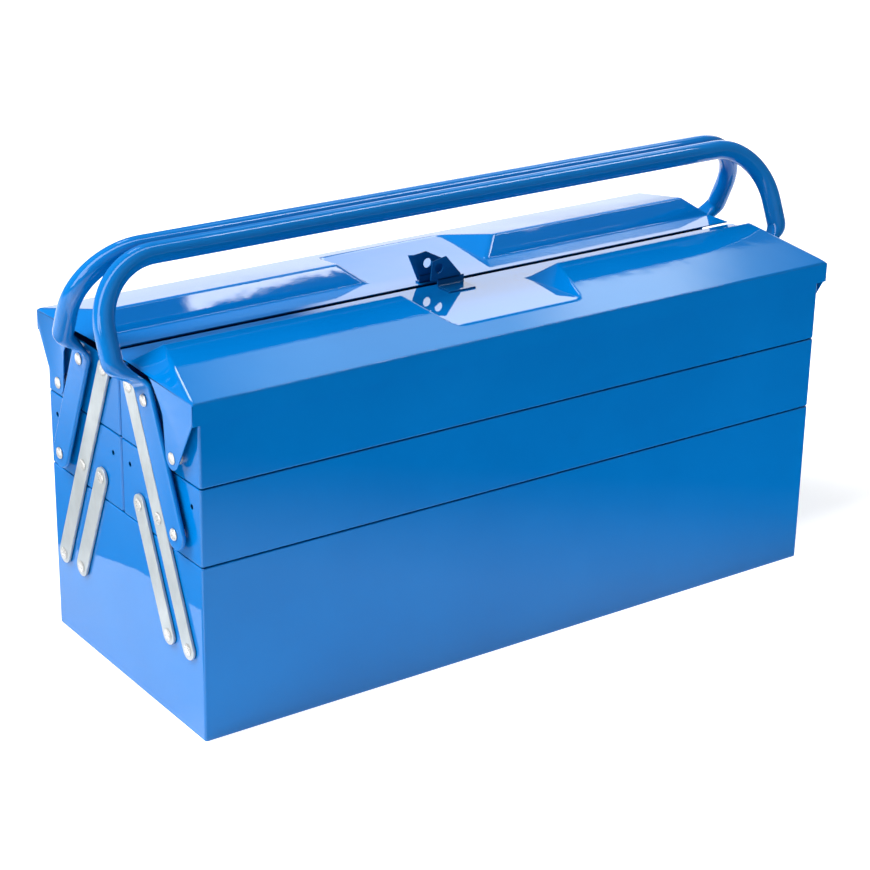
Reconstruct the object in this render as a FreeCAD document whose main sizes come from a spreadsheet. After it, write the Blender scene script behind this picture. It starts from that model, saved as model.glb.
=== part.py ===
import FreeCAD, Part
import Sketcher
import math
import os
import sys

# Five-compartment cantilever tool box in folded sheet steel.
# Frame: origin under the middle of the base, +X along the length, -Y to the front, +Z up.
# The front half (middle tray, upper tray, lid, handle, links) is built first;
# the rear half is the same set turned half a turn about Z.

V = FreeCAD.Vector
doc = FreeCAD.newDocument("CantileverToolBox")

# ---------------------------------------------------------------- driving sizes (mm)
sheet = doc.addObject("Spreadsheet::Sheet", "Sizes")
SIZES = [
    # folded boxes
    ("body_length", 530.0), ("body_depth", 212.0), ("base_height", 126.2),
    ("tray_height", 53.8), ("upper_height", 51.0), ("middle_floor", 127.2), ("upper_floor", 182.0),
    ("centre_gap", 1.0), ("sheet_thick", 0.8), ("hem_height", 4.4), ("bend_radius", 1.2),
    ("panel_cut", 1.65), ("hang_hole_dia", 3.8), ("hang_hole_rise", 38.8), ("hang_hole_reach", 41.4),
    # linkage pivots, as distances from the middle plane and heights
    ("long_low_y", 89.0), ("pivot_low_z", 62.0), ("link_run", 35.5), ("link_rise", 81.0),
    ("short_pitch", 26.5), ("handle_pitch", 27.5), ("lid_pivot_y", 80.0), ("lid_pivot_z", 195.5),
    # flat links
    ("link_width", 14.4), ("link_thick", 2.0), ("link_stand", 0.5),
    ("pin_dia", 5.0), ("pivot_hole", 5.1), ("loose_hole", 5.5),
    # rivets
    ("tail_dia", 8.6), ("tail_thick", 1.2), ("collar_dia", 9.0), ("collar_thick", 0.4),
    ("link_head_dia", 8.6), ("link_head_high", 1.0), ("handle_head_dia", 8.6),
    ("handle_head_high", 1.7), ("lid_head_dia", 8.4), ("lid_head_high", 1.1), ("play", 0.1),
    # handle
    ("tube_dia", 14.6), ("tube_wall", 1.2), ("leg_x", 286.8), ("grip_reach", 180.2),
    ("handle_bend", 46.0), ("bar_width", 22.0), ("bar_thick", 3.4), ("bar_stand", 2.6),
    ("joggle_start", 95.5), ("joggle_end", 117.5),
    # spacers
    ("bush_dia", 10.0), ("bush_bore", 5.1),
    # lids
    ("lid_half_length", 270.4), ("lip_y", 108.4), ("lip_top", 241.4), ("lip_bottom", 226.1),
    ("ridge_y", 39.7), ("ridge_z", 257.2), ("ridge_outer_x", 253.0), ("ridge_inner_x", 67.8),
    ("foot_y", 24.3), ("floor_z", 244.0), ("inner_edge_y", 2.6),
    ("recess_x", 51.5), ("recess_rim_y", 88.0),
    ("ear_radius", 8.0),
    # padlock tabs
    ("tab_thick", 1.2), ("eye_dia", 7.0), ("eye_x", -14.0), ("eye_z", 258.3),
    ("front_tab_y", 9.4), ("rear_tab_y", 5.0),
]
for row, (name, value) in enumerate(SIZES, start=1):
    sheet.set("A%d" % row, name)
    sheet.set("B%d" % row, str(value))
    sheet.setAlias("B%d" % row, name)
doc.recompute()


def dim(name):
    return float(sheet.get(name))


PARTS = []          # finished sub-parts, in order


def keep(obj, label):
    obj.Label = label
    PARTS.append(obj)
    return obj


def bind(obj, **exprs):
    for prop, e in exprs.items():
        obj.setExpression(prop.replace("__", "."), e)
    return obj


def at(obj, x, y, z, rot=None):
    if rot is not None:
        obj.Placement = FreeCAD.Placement(V(0, 0, 0), rot)
    for axis, e in (("x", x), ("y", y), ("z", z)):
        obj.setExpression("Placement.Base." + axis, e)
    return obj


TURN = FreeCAD.Rotation(V(0, 0, 1), 180)
ALONG_X = {1: FreeCAD.Rotation(V(0, 1, 0), 90), -1: FreeCAD.Rotation(V(0, 1, 0), -90)}


# ---------------------------------------------------------------- sketch helpers
def plane(body, role):
    for o in body.Origin.OriginFeatures:
        if o.Role == role:
            return o
    raise RuntimeError("no plane " + role)


def new_sketch(body, name, role, height=None):
    sk = body.newObject("Sketcher::SketchObject", name)
    sk.AttachmentSupport = [(plane(body, role), "")]
    sk.MapMode = "FlatFace"
    if height is not None:
        sk.setExpression("AttachmentOffset.Base.z", height)
    return sk


def centred_rect(sk, width, depth, w0, d0):
    # rectangle about the sketch origin, width and depth bound to the sheet
    p = [V(-w0 / 2, -d0 / 2, 0), V(w0 / 2, -d0 / 2, 0), V(w0 / 2, d0 / 2, 0), V(-w0 / 2, d0 / 2, 0)]
    for i in range(4):
        sk.addGeometry(Part.LineSegment(p[i], p[(i + 1) % 4]), False)
    for i in range(4):
        sk.addConstraint(Sketcher.Constraint("Coincident", i, 2, (i + 1) % 4, 1))
    for i in (0, 2):
        sk.addConstraint(Sketcher.Constraint("Horizontal", i))
    for i in (1, 3):
        sk.addConstraint(Sketcher.Constraint("Vertical", i))
    sk.addConstraint(Sketcher.Constraint("Symmetric", 0, 1, 1, 2, -1, 1))
    a = sk.addConstraint(Sketcher.Constraint("DistanceX", 0, 1, 0, 2, w0))
    sk.setExpression("Constraints[%d]" % a, width)
    b = sk.addConstraint(Sketcher.Constraint("DistanceY", 1, 1, 1, 2, d0))
    sk.setExpression("Constraints[%d]" % b, depth)


def bound_circle(sk, x, y, d, ex, ey, ed):
    # circle at (x, y); ex and ey give the distances from the axes as positive sizes
    g = sk.addGeometry(Part.Circle(V(x, y, 0), V(0, 0, 1), d / 2), False)
    r = sk.addConstraint(Sketcher.Constraint("Radius", g, d / 2))
    sk.setExpression("Constraints[%d]" % r, ed + " / 2")
    for kind, val, e in (("DistanceX", x, ex), ("DistanceY", y, ey)):
        if e is None:
            sk.addConstraint(Sketcher.Constraint("PointOnObject", g, 3, -2 if kind == "DistanceX" else -1))
        else:
            if val >= 0:
                k = sk.addConstraint(Sketcher.Constraint(kind, -1, 1, g, 3, abs(val)))
            else:
                k = sk.addConstraint(Sketcher.Constraint(kind, g, 3, -1, 1, abs(val)))
            sk.setExpression("Constraints[%d]" % k, e)


# ---------------------------------------------------------------- folded boxes
T = dim("sheet_thick")
L = dim("body_length")
LOW_Z = dim("pivot_low_z")
MID_Z = LOW_Z + dim("link_rise")
TOP_Z = LOW_Z + 2 * dim("link_rise")
LONG0 = dim("long_low_y")
LONG1 = LONG0 - dim("link_run")
LONG2 = LONG0 - 2 * dim("link_run")
SHORT0 = LONG0 - dim("short_pitch")
SHORT1 = LONG1 - dim("short_pitch")
HAND1 = LONG1 + dim("handle_pitch")
HAND2 = LONG2 + dim("handle_pitch")
E_LONG1 = "(Sizes.long_low_y - Sizes.link_run)"
E_LONG2 = "(Sizes.long_low_y - 2 * Sizes.link_run)"
E_SHORT0 = "(Sizes.long_low_y - Sizes.short_pitch)"
E_SHORT1 = "(Sizes.long_low_y - Sizes.link_run - Sizes.short_pitch)"
E_HAND1 = "(Sizes.long_low_y - Sizes.link_run + Sizes.handle_pitch)"
E_HAND2 = "(Sizes.long_low_y - 2 * Sizes.link_run + Sizes.handle_pitch)"
E_MID_Z = "(Sizes.pivot_low_z + Sizes.link_rise)"
E_TOP_Z = "(Sizes.pivot_low_z + 2 * Sizes.link_rise)"


def folded_box(label, depth_e, depth, height_e, height, holes):
    # open box folded from one blank, with a flat hem turned inwards round its rim;
    # holes: (y, z, dia, expression y, expression z, expression dia), through both ends
    body = doc.addObject("PartDesign::Body", label + "_body")
    sk = new_sketch(body, label + "_plan", "XY_Plane")
    centred_rect(sk, "Sizes.body_length", depth_e, L, depth)
    pad = body.newObject("PartDesign::Pad", label + "_blank")
    pad.Profile = sk
    bind(pad, Length=height_e)
    doc.recompute()
    edges = []
    for i, e in enumerate(pad.Shape.Edges, start=1):
        zs = [v.Z for v in e.Vertexes]
        if min(zs) < height - 0.01:
            edges.append("Edge%d" % i)
    fil = body.newObject("PartDesign::Fillet", label + "_bends")
    fil.Base = (pad, edges)
    bind(fil, Radius="Sizes.bend_radius")
    doc.recompute()
    before = fil.Shape.Volume
    mouth = new_sketch(body, label + "_mouth", "XY_Plane", height_e)
    centred_rect(mouth, "Sizes.body_length - 4 * Sizes.sheet_thick",
                 depth_e + " - 4 * Sizes.sheet_thick", L - 4 * T, depth - 4 * T)
    p1 = body.newObject("PartDesign::Pocket", label + "_opening")
    p1.Profile = mouth
    bind(p1, Length=height_e + " - Sizes.sheet_thick")
    doc.recompute()
    under = new_sketch(body, label + "_under_hem", "XY_Plane", height_e + " - Sizes.hem_height")
    centred_rect(under, "Sizes.body_length - 2 * Sizes.sheet_thick",
                 depth_e + " - 2 * Sizes.sheet_thick", L - 2 * T, depth - 2 * T)
    p2 = body.newObject("PartDesign::Pocket", label + "_cavity")
    p2.Profile = under
    bind(p2, Length=height_e + " - Sizes.hem_height - Sizes.sheet_thick")
    doc.recompute()
    if not p2.Shape.Volume < 0.2 * before:
        raise RuntimeError(label + ": cavity not cut")
    hs = new_sketch(body, label + "_holes", "YZ_Plane")
    for (y, z, d, ey, ez, ed) in holes:
        bound_circle(hs, y, z, d, ey, ez, ed)
    p3 = body.newObject("PartDesign::Pocket", label + "_rivet_holes")
    p3.Profile = hs
    p3.Type = "ThroughAll"
    p3.Midplane = True
    full = p2.Shape.Volume
    doc.recompute()
    if not p3.Shape.Volume < full - 1.0:
        raise RuntimeError(label + ": holes not cut")
    body.Tip = p3
    return body


def sheet_panels(label, body, depth_e, height_e):
    # the folded sheet parted into its five panels: two ends, two long walls and the floor
    lx, cut = "Sizes.body_length", "Sizes.panel_cut"
    end = "1 + " + cut
    x_in, y_in = "(%s / 2 - %s)" % (lx, cut), "(%s / 2 - %s)" % (depth_e, cut)
    x_out, y_out = "(%s / 2 + 1)" % lx, "(%s / 2 + 1)" % depth_e
    blocks = [("left_end", "-" + x_out, "-" + y_out, end, "2 * " + y_out),
              ("right_end", x_in, "-" + y_out, end, "2 * " + y_out),
              ("front_wall", "-" + x_in, "-" + y_out, "2 * " + x_in, end),
              ("rear_wall", "-" + x_in, y_in, "2 * " + x_in, end),
              ("floor", "-" + x_in, "-" + y_in, "2 * " + x_in, "2 * " + y_in)]
    members = []
    for tag, x, y, length, width in blocks:
        block = doc.addObject("Part::Box", "%s_%s_block" % (label, tag))
        bind(block, Length=length, Width=width, Height=height_e + " + 2")
        at(block, x, y, "-1")
        panel = doc.addObject("Part::Common", "%s_%s" % (label, tag))
        panel.Base = body
        panel.Tool = block
        members.append(panel)
    doc.recompute()
    whole = sum(m.Shape.Volume for m in members)
    if any(len(m.Shape.Solids) != 1 for m in members) or abs(whole - body.Shape.Volume) > 1.0:
        raise RuntimeError(label + ": panels do not add up")
    box = doc.addObject("Part::Compound", label + "_panels")
    box.Links = members
    return box


PIN = "Sizes.pin_dia"
BORE = "Sizes.pivot_hole"
base_holes = []
for s in (-1, 1):
    base_holes.append((s * LONG0, LOW_Z, dim("pivot_hole"), "Sizes.long_low_y", "Sizes.pivot_low_z", BORE))
    base_holes.append((s * SHORT0, LOW_Z, dim("pivot_hole"), E_SHORT0, "Sizes.pivot_low_z", BORE))
base_box = folded_box("base_box", "Sizes.body_depth", dim("body_depth"),
                      "Sizes.base_height", dim("base_height"), base_holes)
keep(sheet_panels("base_box", base_box, "Sizes.body_depth", "Sizes.base_height"), "base_box")

TRAY_D = dim("body_depth") / 2 - dim("centre_gap") / 2
E_TRAY_D = "(Sizes.body_depth / 2 - Sizes.centre_gap / 2)"
YC = dim("centre_gap") / 2 + TRAY_D / 2            # middle of a tray, from the middle plane
E_YC = "(Sizes.body_depth / 4 + Sizes.centre_gap / 4)"


def tray_hole(v, z, floor_e, floor, ev, ez, dia, edia):
    # a hole given by its distance v from the middle plane and its height
    y = YC - v
    ey = (E_YC + " - " + ev) if y >= 0 else (ev + " - " + E_YC)
    return (y, z - floor, dim(dia), ey, ez + " - " + floor_e, edia)


def tray_holes(kind):
    if kind == "middle":
        f, fe = dim("middle_floor"), "Sizes.middle_floor"
        pts = [(LONG1, MID_Z, E_LONG1, E_MID_Z), (SHORT1, MID_Z, E_SHORT1, E_MID_Z),
               (HAND1, MID_Z, E_HAND1, E_MID_Z)]
    else:
        f, fe = dim("upper_floor"), "Sizes.upper_floor"
        pts = [(LONG2, TOP_Z, E_LONG2, E_TOP_Z), (HAND2, TOP_Z, E_HAND2, E_TOP_Z),
               (dim("lid_pivot_y"), dim("lid_pivot_z"), "Sizes.lid_pivot_y", "Sizes.lid_pivot_z")]
    out = [tray_hole(v, z, fe, f, ev, ez, "pivot_hole", BORE) for (v, z, ev, ez) in pts]
    for s in (-1, 1):
        out.append((s * dim("hang_hole_reach"), dim("hang_hole_rise"), dim("hang_hole_dia"),
                    "Sizes.hang_hole_reach", "Sizes.hang_hole_rise", "Sizes.hang_hole_dia"))
    return out


HALVES = (("front", -1), ("rear", 1))
for half, sgn in HALVES:
    for kind in ("middle", "upper"):
        high = "tray_height" if kind == "middle" else "upper_height"
        b = folded_box("%s_%s_tray" % (half, kind), E_TRAY_D, TRAY_D,
                       "Sizes." + high, dim(high), tray_holes(kind))
        b = sheet_panels("%s_%s_tray" % (half, kind), b, E_TRAY_D, "Sizes." + high)
        at(b, "0", ("-" if sgn < 0 else "") + E_YC, "Sizes.%s_floor" % kind,
           TURN if sgn > 0 else FreeCAD.Rotation())
        keep(b, "%s_%s_tray" % (half, kind))


# ---------------------------------------------------------------- flat links
def flat_link(label, half_sgn, side, count):
    # bar with full-round ends; pivots every link length along it; the sketch lies in the
    # plane of the box end, with the lowest pivot at the sketch origin
    n = math.hypot(dim("link_run"), dim("link_rise"))
    E_N = "sqrt(Sizes.link_run ^ 2 + Sizes.link_rise ^ 2)"
    length = n * (count - 1)
    w = dim("link_width")
    body = doc.addObject("PartDesign::Body", label + "_body")
    sk = new_sketch(body, label + "_outline", "XY_Plane")
    r = w / 2
    g0 = sk.addGeometry(Part.LineSegment(V(0, -r, 0), V(length, -r, 0)), False)
    g1 = sk.addGeometry(Part.ArcOfCircle(Part.Circle(V(length, 0, 0), V(0, 0, 1), r), -math.pi / 2, math.pi / 2), False)
    g2 = sk.addGeometry(Part.LineSegment(V(length, r, 0), V(0, r, 0)), False)
    g3 = sk.addGeometry(Part.ArcOfCircle(Part.Circle(V(0, 0, 0), V(0, 0, 1), r), math.pi / 2, 3 * math.pi / 2), False)
    sk.addConstraint(Sketcher.Constraint("Coincident", g3, 3, -1, 1))
    sk.addConstraint(Sketcher.Constraint("Tangent", g0, 2, g1, 1))
    sk.addConstraint(Sketcher.Constraint("Tangent", g1, 2, g2, 1))
    sk.addConstraint(Sketcher.Constraint("Tangent", g2, 2, g3, 1))
    sk.addConstraint(Sketcher.Constraint("Tangent", g3, 2, g0, 1))
    sk.addConstraint(Sketcher.Constraint("Horizontal", g0))
    k = sk.addConstraint(Sketcher.Constraint("Radius", g3, r))
    sk.setExpression("Constraints[%d]" % k, "Sizes.link_width / 2")
    k = sk.addConstraint(Sketcher.Constraint("DistanceX", g3, 3, g1, 3, length))
    sk.setExpression("Constraints[%d]" % k, E_N + " * %d" % (count - 1))
    for i in range(count):
        loose = (count == 2 and i == 1)
        bound_circle(sk, n * i, 0.0, dim("loose_hole" if loose else "pivot_hole"),
                     None if i == 0 else E_N + " * %d" % i, None,
                     "Sizes.loose_hole" if loose else BORE)
    pad = body.newObject("PartDesign::Pad", label + "_plate")
    pad.Profile = sk
    bind(pad, Length="Sizes.link_thick")
    doc.recompute()
    # local x runs up the link, local z across the box end
    lean = math.atan2(dim("link_run"), dim("link_rise"))
    up = V(0, -half_sgn * math.sin(lean), math.cos(lean))
    out = V(1, 0, 0)
    yy = out.cross(up)
    rot = FreeCAD.Rotation(up, yy, out, "ZXY")
    v = E_SHORT0 if count == 2 else "Sizes.long_low_y"
    x = ("Sizes.body_length / 2 + Sizes.link_stand" if side > 0
         else "-Sizes.body_length / 2 - Sizes.link_stand - Sizes.link_thick")
    at(body, x, ("-" if half_sgn < 0 else "") + v, "Sizes.pivot_low_z", rot)
    return body


for half, sgn in HALVES:
    for side_name, side in (("left", -1), ("right", 1)):
        keep(flat_link("%s_%s_long_link" % (half, side_name), sgn, side, 3),
             "%s_%s_long_link" % (half, side_name))
        keep(flat_link("%s_%s_short_link" % (half, side_name), sgn, side, 2),
             "%s_%s_short_link" % (half, side_name))


# ---------------------------------------------------------------- rivets and spacers
def rivet(name, side, ye, ze, grip_e, head_dia, head_high, collar):
    # tail inside the sheet, shank, optional collar against the sheet, low domed head.
    # grip_e: how far the head's underside stands from the outer face of the sheet
    rot = ALONG_X[side]
    sx = "" if side > 0 else "-"
    half_l = "Sizes.body_length / 2"
    bits = []

    def cyl(tag, rad, hgt, start):
        c = doc.addObject("Part::Cylinder", name + tag)
        bind(c, Radius=rad, Height=hgt)
        at(c, "%s(%s)" % (sx, start), ye, ze, rot)
        bits.append(c)

    inner = half_l + " - Sizes.sheet_thick"
    cyl("_tail", "Sizes.tail_dia / 2", "Sizes.tail_thick", inner + " - Sizes.tail_thick")
    cyl("_shank", "Sizes.pin_dia / 2", "Sizes.tail_thick + Sizes.sheet_thick + " + grip_e + " + 0.3",
        inner + " - Sizes.tail_thick")
    if collar:
        cyl("_collar", "Sizes.collar_dia / 2", "Sizes.collar_thick", half_l)
    a, h = dim(head_dia) / 2, dim(head_high)
    rim = 0.35 * h
    cyl("_rim", "Sizes.%s / 2" % head_dia, "0.35 * Sizes.%s" % head_high, half_l + " + " + grip_e)
    cap = doc.addObject("Part::Sphere", name + "_dome")
    ch = h - rim
    big = (a * a + ch * ch) / (2 * ch)
    er = "((Sizes.%s / 2) ^ 2 + (0.65 * Sizes.%s) ^ 2) / (2 * 0.65 * Sizes.%s)" % (head_dia, head_high, head_high)
    bind(cap, Radius=er)
    cap.Angle1 = math.degrees(math.asin((big - ch) / big))
    cap.Angle2 = 90
    at(cap, "%s(%s + %s + Sizes.%s - %s)" % (sx, half_l, grip_e, head_high, er), ye, ze, rot)
    bits.append(cap)
    f = doc.addObject("Part::MultiFuse", name)
    f.Shapes = bits
    f.Refine = True
    return f


def spacer(name, side, ye, ze, long_e):
    # plain bush between the sheet and the piece that turns on the rivet
    rot = ALONG_X[side]
    sx = "" if side > 0 else "-"
    out = doc.addObject("Part::Cylinder", name + "_out")
    bind(out, Radius="Sizes.bush_dia / 2", Height=long_e)
    at(out, "%s(Sizes.body_length / 2)" % sx, ye, ze, rot)
    bore = doc.addObject("Part::Cylinder", name + "_bore")
    bind(bore, Radius="Sizes.bush_bore / 2", Height=long_e)
    at(bore, "%s(Sizes.body_length / 2)" % sx, ye, ze, rot)
    c = doc.addObject("Part::Cut", name)
    c.Base = out
    c.Tool = bore
    return c


def group(label, members):
    g = doc.addObject("Part::Compound", label + "_group")
    g.Links = members
    keep(g, label)


LINK_GRIP = "(Sizes.link_stand + Sizes.link_thick + Sizes.play)"
BAR_GRIP = "(Sizes.bar_stand + Sizes.bar_thick + Sizes.play)"
LID_OUT = "(Sizes.lid_half_length - Sizes.body_length / 2)"
LID_GRIP = "(Sizes.lid_half_length - Sizes.body_length / 2 + Sizes.play)"
SIDES = (("l", -1), ("r", 1))

members = []
for half, sgn in HALVES:
    m = "-" if sgn < 0 else ""
    for tag, side in SIDES:
        members.append(rivet("rb_long_%s_%s" % (half, tag), side, m + "Sizes.long_low_y",
                             "Sizes.pivot_low_z", LINK_GRIP, "link_head_dia", "link_head_high", True))
        members.append(rivet("rb_short_%s_%s" % (half, tag), side, m + E_SHORT0,
                             "Sizes.pivot_low_z", LINK_GRIP, "link_head_dia", "link_head_high", True))
group("base_link_rivets", members)

for half, sgn in HALVES:
    m = "-" if sgn < 0 else ""
    mid_l, up_l, mid_h, up_h, lid_r, mid_s, up_s, lid_s = [], [], [], [], [], [], [], []
    for tag, side in SIDES:
        k = "%s_%s" % (half, tag)
        mid_l.append(rivet("rm_long_" + k, side, m + E_LONG1, E_MID_Z, LINK_GRIP, "link_head_dia", "link_head_high", True))
        mid_l.append(rivet("rm_short_" + k, side, m + E_SHORT1, E_MID_Z, LINK_GRIP, "link_head_dia", "link_head_high", True))
        mid_h.append(rivet("rm_hand_" + k, side, m + E_HAND1, E_MID_Z, BAR_GRIP, "handle_head_dia", "handle_head_high", False))
        up_l.append(rivet("ru_long_" + k, side, m + E_LONG2, E_TOP_Z, LINK_GRIP, "link_head_dia", "link_head_high", True))
        up_h.append(rivet("ru_hand_" + k, side, m + E_HAND2, E_TOP_Z, BAR_GRIP, "handle_head_dia", "handle_head_high", False))
        lid_r.append(rivet("ru_lid_" + k, side, m + "Sizes.lid_pivot_y", "Sizes.lid_pivot_z", LID_GRIP, "lid_head_dia", "lid_head_high", False))
        mid_s.append(spacer("sm_" + k, side, m + E_HAND1, E_MID_Z, "Sizes.bar_stand - Sizes.play"))
        up_s.append(spacer("su_" + k, side, m + E_HAND2, E_TOP_Z, "Sizes.bar_stand - Sizes.play"))
        lid_s.append(spacer("sl_" + k, side, m + "Sizes.lid_pivot_y", "Sizes.lid_pivot_z", LID_OUT + " - Sizes.sheet_thick - Sizes.play"))
    group(half + "_middle_link_rivets", mid_l)
    group(half + "_middle_handle_rivets", mid_h)
    group(half + "_middle_handle_spacers", mid_s)
    group(half + "_upper_link_rivets", up_l)
    group(half + "_upper_handle_rivets", up_h)
    group(half + "_upper_handle_spacers", up_s)
    group(half + "_lid_rivets", lid_r)
    group(half + "_lid_spacers", lid_s)


# ---------------------------------------------------------------- lids
def solid_from(polys):
    faces = [Part.Face(Part.makePolygon([V(*p) for p in poly] + [V(*poly[0])])) for poly in polys]
    shell = Part.Shell(faces)
    s = Part.Solid(shell)
    if s.Volume < 0:
        s.reverse()
    return s


def recess_rim():
    # corner where the recess breaks through the outer slope: (x, distance, height)
    y = dim("recess_rim_y")
    z = dim("lip_top") + (dim("lip_y") - y) * (dim("ridge_z") - dim("lip_top")) / (dim("lip_y") - dim("ridge_y"))
    run = (dim("ridge_inner_x") - dim("recess_x")) / (dim("ridge_z") - dim("floor_z"))
    return dim("recess_x") + run * (z - dim("floor_z")), y, z


def lid_block(xe, y_in, y_lip, drop, z_low):
    # everything under the pressed top, down to z_low; drop lowers the whole top.
    # distances from the middle plane are positive here; the front lid is turned to -Y
    zl, zr, zf = (dim(n) - drop for n in ("lip_top", "ridge_z", "floor_z"))
    yl, yr, yf = dim("lip_y"), dim("ridge_y"), dim("foot_y")
    xr, xi, xq = dim("ridge_outer_x"), dim("ridge_inner_x"), dim("recess_x")
    xw, yw, zw = recess_rim()
    zw -= drop
    polys = []
    # flat inner flange, and the recess floor that rises from it to run out in the outer slope
    polys.append([(-xe, y_in, zf), (xe, y_in, zf), (xe, yf, zf), (xq, yf, zf), (-xq, yf, zf), (-xe, yf, zf)])
    polys.append([(-xq, yf, zf), (xq, yf, zf), (xw, yw, zw), (-xw, yw, zw)])
    # outer slope, in one plane from end to end
    polys.append([(-xe, yl, zl), (xe, yl, zl), (xr, yr, zr), (xi, yr, zr), (xw, yw, zw),
                  (-xw, yw, zw), (-xi, yr, zr), (-xr, yr, zr)])
    for m in (-1, 1):
        polys.append([(m * xq, yf, zf), (m * xw, yw, zw), (m * xi, yr, zr)])
        polys.append([(m * xi, yr, zr), (m * xr, yr, zr), (m * xe, yf, zf), (m * xq, yf, zf)])
        polys.append([(m * xe, yl, zl), (m * xr, yr, zr), (m * xe, yf, zf)])
        polys.append([(m * xe, y_in, z_low), (m * xe, yl, z_low), (m * xe, yl, zl), (m * xe, yf, zf), (m * xe, y_in, zf)])
    polys.append([(-xe, yl, z_low), (xe, yl, z_low), (xe, yl, zl), (-xe, yl, zl)])
    polys.append([(-xe, y_in, z_low), (xe, y_in, z_low), (xe, y_in, zf), (-xe, y_in, zf)])
    polys.append([(-xe, y_in, z_low), (xe, y_in, z_low), (xe, yl, z_low), (-xe, yl, z_low)])
    return solid_from(polys)


def prism_x(points, x0, x1):
    w = Part.makePolygon([V(x0, y, z) for y, z in points] + [V(x0, points[0][0], points[0][1])])
    return Part.Face(w).extrude(V(x1 - x0, 0, 0))


def ear_outline():
    # lip, ear round the pivot, and the inner edge of the end plate that clears the handle
    py, pz, r = dim("lid_pivot_y"), dim("lid_pivot_z"), dim("ear_radius")
    pts = [(dim("inner_edge_y") - 1, 262.0), (dim("lip_y") + 1, 262.0), (dim("lip_y") + 1, dim("lip_bottom")),
           (dim("lip_y"), dim("lip_bottom")), (105.2, 223.4)]
    # round tip: arc from the outer tangent to the inner tangent
    for k in range(0, 13):
        a = math.radians(-28 - k * (152.0 / 12))
        pts.append((py + r * math.cos(a), pz + r * math.sin(a)))
    pts += [(69.5, 221.5), (62.0, 232.0), (55.5, 239.5), (50.5, 241.9), (40.0, 242.3), (27.0, dim("floor_z") - T - 0.05),
            (dim("inner_edge_y") - 1, dim("floor_z") - T - 0.05)]
    return pts


XE = dim("lid_half_length")
outer = lid_block(XE, dim("inner_edge_y"), dim("lip_y"), 0.0, 180.0)
# the hollow: same top lowered by the sheet, walls set in by the sheet, open at the inner edge
inner = lid_block(XE, dim("inner_edge_y") - 5, dim("lip_y"), T * 1.06, 170.0)
clip = Part.makeBox(2 * (XE - T), dim("lip_y") - T + 10, 200.0, V(-(XE - T), -10, 160.0))
inner = inner.common(clip)
lid_shape = outer.cut(inner).common(prism_x(ear_outline(), -XE - 5, XE + 5))
for m in (-1, 1):
    hole = Part.makeCylinder(dim("pivot_hole") / 2, 20, V(m * (XE + 5), dim("lid_pivot_y"), dim("lid_pivot_z")), V(-m, 0, 0))
    lid_shape = lid_shape.cut(hole)
lid_solid = lid_shape.Solids[0]
if len(lid_shape.Solids) != 1:
    raise RuntimeError("lid is in %d pieces" % len(lid_shape.Solids))


def prism_z(points):
    w = Part.makePolygon([V(x, y, 150.0) for x, y in points] + [V(points[0][0], points[0][1], 150.0)])
    return Part.Face(w).extrude(V(0, 0, 150.0))


def lid_facets(solid):
    # the pressed sheet parted along its creases into flat plates: flange, recess floor and sides,
    # slopes, end facets, lip, and the end plates in level slices
    cut = T + 0.05
    xe, yl = XE - cut, dim("lip_y") - cut
    xw, yw, zw = recess_rim()
    xq, yf, yr = dim("recess_x"), dim("foot_y"), dim("ridge_y")
    xi, xr, far = dim("ridge_inner_x"), dim("ridge_outer_x"), XE
    top = solid.common(Part.makeBox(2 * xe, yl + 20, 150.0, V(-xe, -20, 150.0)))
    plans = [[(-far, -10), (far, -10), (far, yf), (-far, yf)],
             [(-xq, yf), (xq, yf), (xw, yw), (-xw, yw)],
             [(-xw, yw), (xw, yw), (xw, far), (-xw, far)]]
    for m in (-1, 1):
        plans.append([(m * xq, yf), (m * xw, yw), (m * xi, yr)])
        plans.append([(m * xq, yf), (m * xi, yr), (m * xr, yr), (m * far, yf)])
        plans.append([(m * xi, yr), (m * xr, yr), (m * far, dim("lip_y")), (m * xw, dim("lip_y")), (m * xw, yw)])
        plans.append([(m * xr, yr), (m * far, yf), (m * far, dim("lip_y"))])
    plates = [top.common(prism_z(p)) for p in plans]
    plates.append(solid.common(Part.makeBox(2 * xe, 20.0, 150.0, V(-xe, yl, 150.0))))
    for m in (-1, 1):
        x0 = xe if m > 0 else -xe - 20
        for z0, z1 in ((150.0, 221.5), (221.5, 232.0), (232.0, 239.5), (239.5, 241.9), (241.9, 300.0)):
            plates.append(solid.common(Part.makeBox(20.0, 200.0, z1 - z0, V(x0, -20, z0))))
    out = []
    for p in plates:
        if len(p.Solids) != 1:
            raise RuntimeError("lid plate in %d pieces" % len(p.Solids))
        out.append(p.Solids[0])
    if abs(sum(p.Volume for p in out) - solid.Volume) > 1.0:
        raise RuntimeError("lid plates do not add up")
    return out


# built with +Y outwards, which is the rear lid; the front lid is half a turn away
for half, sgn in HALVES:
    o = doc.addObject("Part::Feature", half + "_lid_shell")
    o.Shape = Part.makeCompound(lid_facets(lid_solid))
    o.Placement = FreeCAD.Placement(V(0, 0, 0), FreeCAD.Rotation() if sgn > 0 else TURN)
    keep(o, half + "_lid")


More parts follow.
